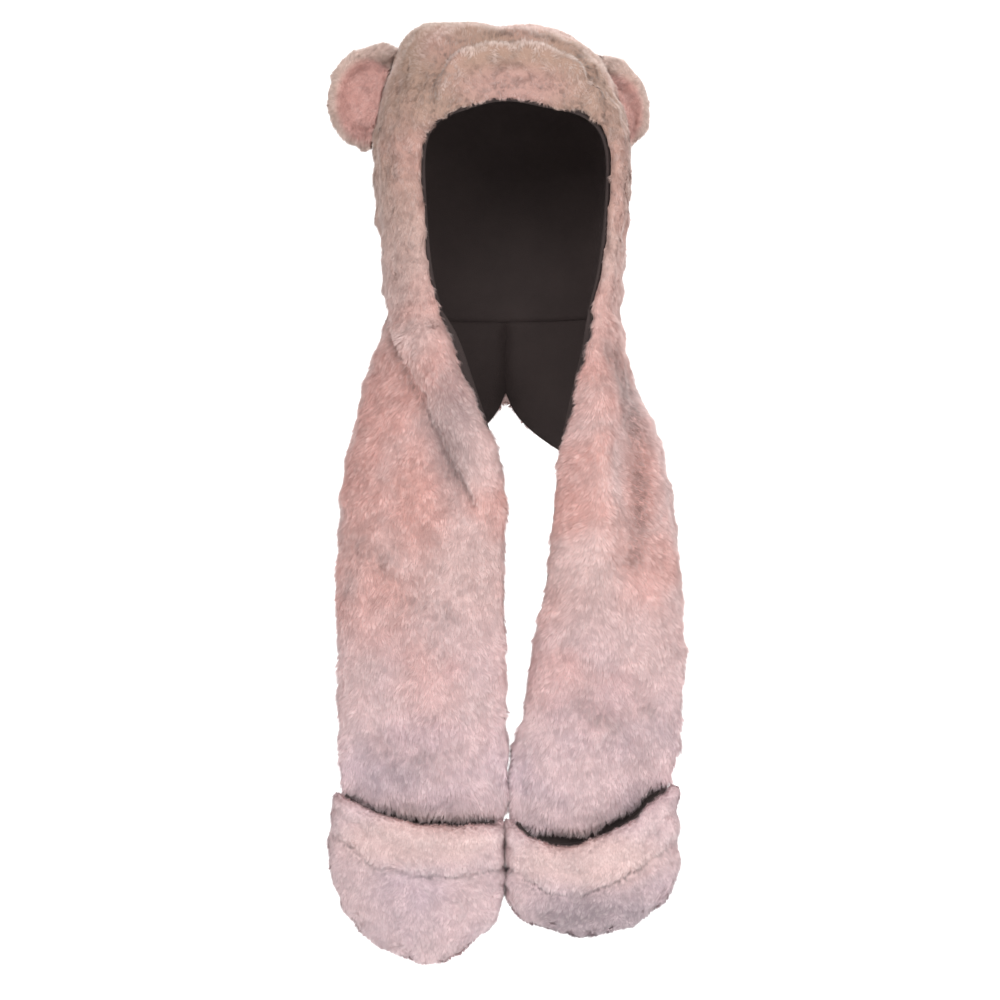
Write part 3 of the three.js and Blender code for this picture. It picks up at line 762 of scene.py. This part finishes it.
print("fur solids:", ", ".join(name for name in nodes if "fur" in name or "ear" in name))

# %% [markdown]
# ## From solid to pelt
#
# The fur solids have coarse locks, which strands will replace. A voxel remesh
# joins the pieces that are sewn together and gives even small faces, and
# smoothing takes the locks away. The tails nearly touch each other low down, so
# they are spread apart for the remesh and then put back. At the seam behind the
# neck they are lapped instead.


# %% From solid to pelt
VOXEL = 0.0035
HIDDEN_SAVING = 0.75
HIDDEN_FIRST = 1000
TAIL_SPREAD = 0.003
NAPE_WIDTH = 0.0055
NAPE_LAP = 0.0008


def evened(points, corners, rounds):
    """Smoothed without shrinking: what the smoothing takes away is evened too."""
    for _ in range(2):
        smooth = relaxed(points, corners, rounds)
        normals = vertex_normals(smooth, corners)
        lost = ((points - smooth) * normals).sum(axis=1, keepdims=True)
        points = smooth + relaxed(lost, corners, rounds) * normals
    return points


def join_sources(key, sources):
    """One mesh with the triangles of all the sources."""
    build = bmesh.new()
    for source in sources:
        build.from_mesh(nodes[source].data)
    mesh = bpy.data.meshes.new(key + "_pelt")
    build.to_mesh(mesh)
    build.free()
    return mesh


def close_nape(mesh):
    """Laps the two tails at the seam behind the neck, so that a remesh joins them."""
    points = read_mesh(mesh)[0]
    middle = np.abs(points[:, 0]) < NAPE_WIDTH
    near = middle & (points[:, 1] > 0) & (points[:, 2] < NECK_SEAM)
    points[near, 0] = -NAPE_LAP * np.sign(points[near, 0])
    write_points(mesh, points)


def spread(mesh, distance):
    """Moves the low ends of the two tails apart, so that a remesh can't join them."""
    points = read_mesh(mesh)[0]
    low = smoothstep(-points[:, 2], 0.40, 0.48)
    points[:, 0] += distance * low * np.sign(points[:, 0] + 0.0001)
    write_points(mesh, points)


def thin_out(pelt, hidden):
    """Fewer faces on the side that lies on the lining, where nobody sees it."""
    group = pelt.vertex_groups.new(name="hidden")
    group.add(hidden.tolist(), 1.0, "REPLACE")
    before = len(pelt.data.vertices)
    thin = pelt.modifiers.new("thin", "DECIMATE")
    thin.vertex_group = "hidden"
    thin.vertex_group_factor = HIDDEN_FIRST
    thin.ratio = 1 - HIDDEN_SAVING * len(hidden) / before
    apply_modifiers(pelt)
    pelt.vertex_groups.clear()
    print(pelt.name, before, "points, thinned to", len(pelt.data.vertices))


# %% [markdown]
# ## Shapes of the pelts
#
# Some forms are softer than the CAD gives them. The ears are dished with a
# rolled rim, the left shoulder swells, hems are rounded, a pocket's rim stands
# up to hide the edge of its bag, and the two paws nearly touch. Sculpting could
# do this by hand. Sums over places and normals are easier to change later.


# %% Shapes of the pelts
ROLL_PLACE, ROLL_WIDTH, ROLL_HEIGHT = 1.2, 0.18, 0.0034
DISH_DEPTH = 0.0056
SHOULDER_PLACE, SHOULDER_WIDTH, SHOULDER_SWELL = -0.268, 0.014, 0.005
HEM_SWELL, TAIL_SWELL = 0.0030, 0.0064
RIM_SWELL, FOOT_SWELL, PAW_SWELL = 0.0028, 0.001, 0.0034
MIDDLE_WIDTH = 0.03


def ear_shape(dish_x, dish_z, dish, rim):
    """A dished front with a rolled rim round it."""

    def shape(points, normals):
        front = smoothstep(-normals[:, 1], 0.1, 0.5)
        out = np.hypot((points[:, 0] - dish_x) / dish, (points[:, 2] - dish_z) / rim)
        hollow = np.exp(-(out**4))
        roll = np.exp(-(((out - ROLL_PLACE) / ROLL_WIDTH) ** 2))
        return front * (ROLL_HEIGHT * roll - DISH_DEPTH * hollow)

    return shape


def inner_side(points, normals):
    """1 on the sides of the two tails and paws that face each other."""
    x = points[:, 0]
    facing = smoothstep(-normals[:, 0] * np.sign(x), 0.2, 0.7)
    return facing * (np.abs(x) < MIDDLE_WIDTH)


def scarf_shape(points, normals):
    """Swells at the left shoulder, along the hems and at the tails' low edges."""
    x, z = points[:, 0], points[:, 2]
    out = smoothstep(-normals[:, 0], 0.2, 0.7) * (x < -0.08)
    bump = np.exp(-(((z - SHOULDER_PLACE) / SHOULDER_WIDTH) ** 2))
    hem = HEM_SWELL * smoothstep(-normals[:, 2], 0.2, 0.7) * (z < -0.6)
    inner = TAIL_SWELL * inner_side(points, normals) * smoothstep(-z, 0.56, 0.61)
    return SHOULDER_SWELL * out * bump + hem + inner


def pocket_shape(points, normals):
    """The rim stands up to hide the bag's edge, and the two paws nearly touch."""
    z, up = points[:, 2], normals[:, 2]
    rim = RIM_SWELL * smoothstep(up, 0.1, 0.6) + FOOT_SWELL * (up < -0.3)
    inner = PAW_SWELL * inner_side(points, normals) * smoothstep(z, -0.76, -0.72)
    return rim + inner


print("an ear's rim rolls up by", 1000 * ROLL_HEIGHT, "mm")

# %% [markdown]
# ## Pelts
#
# A fur solid is as thick as its pile. Its backing, the pelt, lies deeper: the
# evened solid's outside sinks by part of the pile, so that the strands' tips
# end about where the solid did. The hood's fur and both tails' are one pelt,
# because the band round the face runs on down the tails without a break. Low
# waves, the lumps, keep the cloth from looking cast.


# %% Pelts
SINK = 0.0020
RIM_SINK = 0.0012
BACKING = 0.0024
ACROSS = 0.018
# Each lump: height, wavelength, seed.
LUMPS = [(0.0006, 0.07, 18), (0.0012, 0.026, 17), (0.0005, 0.014, 19)]


def make_pelt(key, sources, against, shape):
    """The pelt of some fur nodes. against names the nodes that lie on them."""
    material = EAR_PELT if key.startswith("ear") else PELT
    pelt = new_piece(key + "_pelt", join_sources(key, sources), material)
    close_nape(pelt.data)
    spread(pelt.data, TAIL_SPREAD)
    remesh = pelt.modifiers.new("even", "REMESH")
    remesh.mode = "VOXEL"
    remesh.voxel_size = VOXEL
    apply_modifiers(pelt)
    spread(pelt.data, -TAIL_SPREAD)
    first, corners = read_mesh(pelt.data)
    covered = covered_share(first, vertex_normals(first, corners), against)
    smooth = evened(first, corners, 11)
    near = relaxed(first, corners, 2)
    points = relaxed(np.where(covered[:, None] > 0.5, near, smooth), corners, 1)
    normals = vertex_normals(points, corners)
    depth = local_depth(points, normals, corners)
    sink = np.where(depth > ACROSS, RIM_SINK, np.clip(depth - BACKING, 0, SINK))
    move = fold_shape(points, normals, FOLDS.get(key, []))[0]
    for height, wavelength, wave in LUMPS:
        move += height * wave_noise(points, wavelength, wave)
    move += shape(points, normals)
    out = relaxed(((1 - covered) * (move - sink))[:, None], corners, 1)
    points = points + out * normals
    write_points(pelt.data, points)
    thin_out(pelt, np.flatnonzero(covered))
    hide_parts(*sources)
    depth = round(1000 * float(sink.mean()), 2)
    print(key, len(corners), "triangles, sunk", depth, "mm")
    return {"piece": pelt, "points": points, "corners": corners, "open": 1 - covered}


PELTS = {
    "scarf": make_pelt(
        "scarf",
        ["hood_fur", "tail_fur_left", "tail_fur_right"],
        ["hood_lining", "tail_lining_left", "tail_lining_right"],
        scarf_shape,
    ),
    "pocket_left": make_pelt(
        "pocket_left", ["pocket_fur_left"], ["pocket_bag_left"], pocket_shape
    ),
    "pocket_right": make_pelt(
        "pocket_right", ["pocket_fur_right"], ["pocket_bag_right"], pocket_shape
    ),
    "ear_left": make_pelt(
        "ear_left", ["ear_left"], ["hood_fur"], ear_shape(-0.116, -0.053, 0.0250, 0.036)
    ),
    "ear_right": make_pelt(
        "ear_right", ["ear_right"], ["hood_fur"], ear_shape(0.091, -0.060, 0.0230, 0.032)
    ),
}

# %% [markdown]
# ## Which way the fur lies
#
# Each region is combed its own way. Over the crown the fur is swept back, and
# below it the fur falls and curls. On the tails it is brushed downwards and
# parts along the folds, and on the paws it falls towards the foot. Fur could be
# combed by hand in Blender. Here sums of sine waves in random directions bend
# and swirl the flow, which gives the same result in every run.


# %% Which way the fur lies
DOWN = np.array([0.0, 0.0, -1.0])
FORWARD = np.array([0.0, -1.0, 0.0])
SIDE = np.array([1.0, 0.0, 0.0])


def swirl(points, wavelength, seed):
    """A smooth random direction at each point."""
    return np.stack([wave_noise(points, wavelength, seed + k) for k in range(3)], axis=1)


def below_neck(points):
    """0 on the hood, 1 on the tails and a smooth change between."""
    return smoothstep(-points[:, 2], 0.20, 0.28)


def comb_scarf(points, normals):
    x, z = points[:, 0], points[:, 2]
    crown = smoothstep(z, -0.050, -0.015)[:, None]
    swept = 0.7 * np.clip(-normals[:, 1:2], 0, 1) * DOWN + FORWARD
    hood = (1 - crown) * DOWN - 1.4 * crown * swept
    neck = smoothstep(z, -0.43, -0.3)
    band = smoothstep(x, -0.085, -0.045)
    left = 0.55 * neck * (2 * band - 1) + 0.25 * (x + 0.07) / 0.07
    ridge = np.exp(-(((z + 0.37) / 0.09) ** 2)) * np.tanh((x - 0.079) / 0.010)
    right = 1.1 * ridge + 0.3 * (x - 0.075) / 0.07
    tail = DOWN + np.where(x < 0, left, right)[:, None] * SIDE
    low = below_neck(points)[:, None]
    fine = (0.5 - 0.25 * low) * swirl(points, 0.012, 21)
    return hood * (1 - low) + tail * low + 0.25 * swirl(points, 0.04, 11) + fine


def comb_pocket(points, normals):
    middle = points[:, 0].mean()
    rise = smoothstep(normals[:, 2], 0.3, 0.8)[:, None]
    flow = DOWN + 0.3 * FORWARD + ((points[:, :1] - middle) / 0.1) * SIDE
    flow = flow + rise * 1.5 * FORWARD
    return flow + 0.35 * swirl(points, 0.04, 71) + 0.4 * swirl(points, 0.012, 81)


def comb_ear(points, normals):
    middle = points.mean(axis=0)
    flow = 6 * (points - middle) / 0.1 + 0.5 * DOWN - 0.6 * FORWARD
    return flow + 0.5 * swirl(points, 0.03, 91) + 0.45 * swirl(points, 0.012, 101)


crown_flow = comb_scarf(np.array([[0, 0, 0.01]]), np.array([[0, 0, 1]]))
print("flow on top of the crown:", crown_flow[0].round(2).tolist())

# %% [markdown]
# ## Roots and tufts
#
# Roots are strewn evenly over the open part of a pelt. A few of the strands
# then lead a tuft each, and every strand belongs to the nearest leader, so that
# the fur gathers as real pile does.


# %% Roots and tufts
def scatter_roots(pelt, count, random, weight):
    """Random places on the open part of a pelt, with the pelt's normals."""
    points, corners = pelt["points"], pelt["corners"]
    a, b, c = (points[corners[:, k]] for k in range(3))
    area = np.linalg.norm(np.cross(b - a, c - a), axis=1) / 2
    chance = area * pelt["open"][corners].mean(axis=1)
    if weight is not None:
        chance = chance * weight((a + b + c) / 3)
    face = random.choice(len(corners), size=count, p=chance / chance.sum())
    u, v = random.random(count), random.random(count)
    flip = u + v > 1
    u, v = np.where(flip, 1 - u, u), np.where(flip, 1 - v, v)
    share = np.stack([1 - u - v, u, v], axis=1)
    roots = np.einsum("nk,nkd->nd", share, points[corners[face]])
    normals = vertex_normals(points, corners)
    smooth = np.einsum("nk,nkd->nd", share, normals[corners[face]])
    return roots, normalised(smooth)


def gather(roots, count, random):
    """The tuft of each strand: the nearest of some chosen strands."""
    chosen = random.choice(len(roots), size=count, replace=False)
    tree = KDTree(count)
    for number, strand in enumerate(chosen):
        tree.insert(roots[strand], number)
    tree.balance()
    return chosen, np.array([tree.find(root)[1] for root in roots])


print("open share of the scarf's pelt:", round(float(PELTS["scarf"]["open"].mean()), 2))

# %% [markdown]
# ## Strands as a mesh
#
# Blender has hair curves, but a mesh travels better between programs. Each
# strand here is one narrow triangle, wide at its root, and has a small cell of
# its own in the UV map. Its shading normals are bent towards the pelt's, so
# that the mass looks soft and no strand turns dark on its own.


# %% Strands as a mesh
STRAND_POINTS = 3
SOFTNESS = 0.9
FRONT_TURN = 0.4


def store_uv(mesh, count):
    """A grid of small cells in the UV map, one for each strand."""
    across = math.ceil(math.sqrt(2 * count))
    down = math.ceil(count / across)
    cell = np.arange(count)
    corner = np.stack([cell % across, cell // across], axis=1)[:, None, :]
    low, high, middle = 0.08, 0.92, 0.5
    triangle = np.array([(low, low), (high, low), (middle, high)])
    uv = (corner + triangle) / [across, down]
    layer = mesh.uv_layers.new(name="OFBake")
    layer.data.foreach_set("uv", uv.astype(np.float32).ravel())


def strand_mesh(name, roots, tips, width, tilt, skin_normals, values):
    """One long triangle for each strand: two points at the root and the tip."""
    count = len(roots)
    heading = normalised(tips - roots)
    turned = FRONT_TURN * (1 - np.abs(skin_normals[:, 1:2])) * FORWARD
    flat = normalised(np.cross(heading, skin_normals + turned))
    upper = np.cross(flat, heading)
    side = flat * np.cos(tilt)[:, None] + upper * np.sin(tilt)[:, None]
    face = np.cross(side, heading)
    half = side * (width / 2)[:, None]
    points = np.stack([roots - half, roots + half, tips], axis=1).reshape(-1, 3)
    total = STRAND_POINTS * count
    mesh = bpy.data.meshes.new(name)
    mesh.vertices.add(total)
    mesh.vertices.foreach_set("co", points.astype(np.float32).ravel())
    mesh.loops.add(total)
    mesh.loops.foreach_set("vertex_index", np.arange(total, dtype=np.int32))
    mesh.polygons.add(count)
    first = np.arange(0, total, STRAND_POINTS, dtype=np.int32)
    mesh.polygons.foreach_set("loop_start", first)
    mesh.polygons.foreach_set("use_smooth", np.ones(count, bool))
    mesh.update(calc_edges=True)
    for key, value in values.items():
        layer = mesh.attributes.new(key, "FLOAT", "POINT")
        layer.data.foreach_set("value", value.astype(np.float32).ravel())
    store_uv(mesh, count)
    bent = normalised(SOFTNESS * skin_normals + (1 - SOFTNESS) * face)
    mesh.normals_split_custom_set_from_vertices(np.repeat(bent, STRAND_POINTS, axis=0))
    return mesh


print("points in a strand:", STRAND_POINTS)

# %% [markdown]
# ## Growing fur
#
# One function grows all the fur. A pile says how long the strands are, how many
# degrees they lean over and how loosely they lie, and a comb says which way.
# Length and lean vary by chance, as in real plush, and the fur is shorter in a
# crease.


# %% Growing fur
EXTRA_LEAN = 9
LEAN_SPREAD = 8
LEAST_LEAN, MOST_LEAN = 5, 78
TUFT = 20
TIP_PULL = 0.36
TILT = 0.35
ROOT_DEPTH = 0.0008
SHARE = 1.0


def grow(name, key, comb, seed, count, width, pile, weight=None):
    """Fur on a pelt. pile gives length (m), lean (degrees) and looseness."""
    count = int(count * SHARE)
    random = np.random.default_rng(seed)
    roots, normals = scatter_roots(PELTS[key], count, random, weight)
    length, lean, loose = pile(roots, normals)
    _, crease, crest = fold_shape(roots, normals, FOLDS.get(key, []))
    flow = comb(roots, normals)
    flow -= (flow * normals).sum(axis=1, keepdims=True) * normals
    flow = normalised(flow)
    lean = lean + random.normal(EXTRA_LEAN, LEAN_SPREAD, count)
    bend = np.radians(np.clip(lean, LEAST_LEAN, MOST_LEAN))[:, None]
    reach = length * random.uniform(0.75, 1.1, count)
    reach *= (1 + 0.1 * wave_noise(roots, 0.02, seed + 5)) * (1 - 0.15 * crease)
    ways = np.cos(bend) * normals + np.sin(bend) * flow
    ways += loose[:, None] * random.normal(0, 0.9, (count, 3))
    starts = roots - ROOT_DEPTH * normals
    tips = starts + reach[:, None] * ways
    chosen, tuft = gather(roots, count // TUFT, random)
    tips += TIP_PULL * (tips[chosen[tuft]] - tips)
    tilt = random.uniform(-TILT, TILT, count)
    wide = width * random.uniform(0.7, 1.3, count)
    shade = random.random(len(chosen))[tuft]
    values = {
        "along": np.tile([0.0, 0.0, 1.0], count),
        "tuft": np.repeat(shade, STRAND_POINTS),
        "own": np.repeat(random.random(count), STRAND_POINTS),
        # crease darkens the strand's colour as painted shade, and crest pales its tip as
        # a painted highlight.
        "crease": np.repeat(crease, STRAND_POINTS),
        "crest": np.repeat(crest, STRAND_POINTS),
    }
    mesh = strand_mesh(name, starts, tips, wide, tilt, normals, values)
    material = EAR_FUR if key.startswith("ear") else FUR
    strands = new_piece(name, mesh, material)
    print(name, count, "strands")
    return strands


# %% [markdown]
# ## The pile of each piece
#
# The strands are longest on the tails and shorter on the paws and ears. The
# dish of an ear and the hem under a pocket's mouth are trimmed shorter still,
# as on the real scarf, where the short pile shows the seam.


# %% The pile of each piece
HEM_DEPTH = 0.028


def scarf_pile(roots, normals):
    low = below_neck(roots)
    curls = wave_noise(roots, 0.012, 33) * (1 - low)
    brow = np.exp(-(((roots[:, 2] + 0.060) / 0.014) ** 2)) * (roots[:, 1] < -0.03)
    hem = smoothstep(-normals[:, 2], 0.1, 0.6) * (roots[:, 2] < -0.6)
    length = 0.0060 + 0.0006 * low + 0.0010 * curls - 0.0010 * brow + 0.0025 * hem
    return length, 60 - 8 * low + 6 * curls, 0.12 - 0.05 * low


def pocket_pile(node):
    """Short fur on a pocket's hem, and a little longer below it."""
    points, _ = read_mesh(nodes[node].data)
    order = np.argsort(points[:, 0])
    groups = np.array_split(order, 14)
    centre = np.array([points[group, 0].mean() for group in groups])
    rim = np.array([points[group, 2].max() for group in groups])

    def pile(roots, normals):
        below = np.interp(roots[:, 0], centre, rim) - roots[:, 2]
        past_hem = smoothstep(below, HEM_DEPTH - 0.004, HEM_DEPTH + 0.004)
        length = 0.0040 + 0.0008 * past_hem
        return length, np.full(len(roots), 48.0), np.full(len(roots), 0.08)

    return pile


def ear_pile(roots, normals):
    """Short fur in the dish of an ear, and longer on its rim."""
    middle = roots.mean(axis=0)
    out = np.linalg.norm((roots - middle)[:, [0, 2]], axis=1)
    curls = 0.0008 * wave_noise(roots, 0.01, 34)
    length = 0.0042 + 0.0030 * smoothstep(out, 0.018, 0.034) + curls
    return length, np.full(len(roots), 60.0), np.full(len(roots), 0.16)


print("a pocket's hem is", 1000 * HEM_DEPTH, "mm deep")

# %% [markdown]
# ## The scarf's fur
#
# The hood and the two tails share one pelt, but their fur is grown as three
# pieces, which keeps each one light. The hood's gets more strands on the front,
# where the eye goes.


# %% The scarf's fur
SCARF_STRAND = 0.00052


def on_hood(centres):
    front = 0.75 + 0.6 * smoothstep(-centres[:, 1], -0.04, 0.05)
    return front * (centres[:, 2] > NECK_SEAM)


def on_left_tail(centres):
    return (centres[:, 2] <= NECK_SEAM) * (centres[:, 0] < 0)


def on_right_tail(centres):
    return (centres[:, 2] <= NECK_SEAM) * (centres[:, 0] >= 0)


# Each part: name, seed, number of strands, where they grow.
SCARF_PARTS = [
    ("hood", 1, 192000, on_hood),
    ("tail_left", 2, 165000, on_left_tail),
    ("tail_right", 3, 165000, on_right_tail),
]
for part, seed, count, weight in SCARF_PARTS:
    name = part + "_strands"
    fur = grow(name, "scarf", comb_scarf, seed, count, SCARF_STRAND, scarf_pile, weight)

# %% [markdown]
# ## Fur of the paws and ears
#
# The paws' fur is fine and short, so its strands are narrower. The ears' fur is
# grown with a comb and pile of their own.

# %% Fur of the paws and ears
PAW_STRAND = 0.00046
EAR_STRAND = 0.00050
# Each paw: side, seed, number of strands, flat size, flat area.
PAWS = [
    ("left", 4, 76000, (0.15, 0.13), 0.014),
    ("right", 5, 68000, (0.15, 0.12), 0.012),
]
for side, seed, count, flat, area in PAWS:
    key = "pocket_" + side
    pile = pocket_pile("pocket_fur_" + side)
    fur = grow(key + "_strands", key, comb_pocket, seed, count, PAW_STRAND, pile)
for side, seed, count in (("left", 6, 42000), ("right", 7, 30000)):
    key = "ear_" + side
    grow(key + "_strands", key, comb_ear, seed, count, EAR_STRAND, ear_pile)
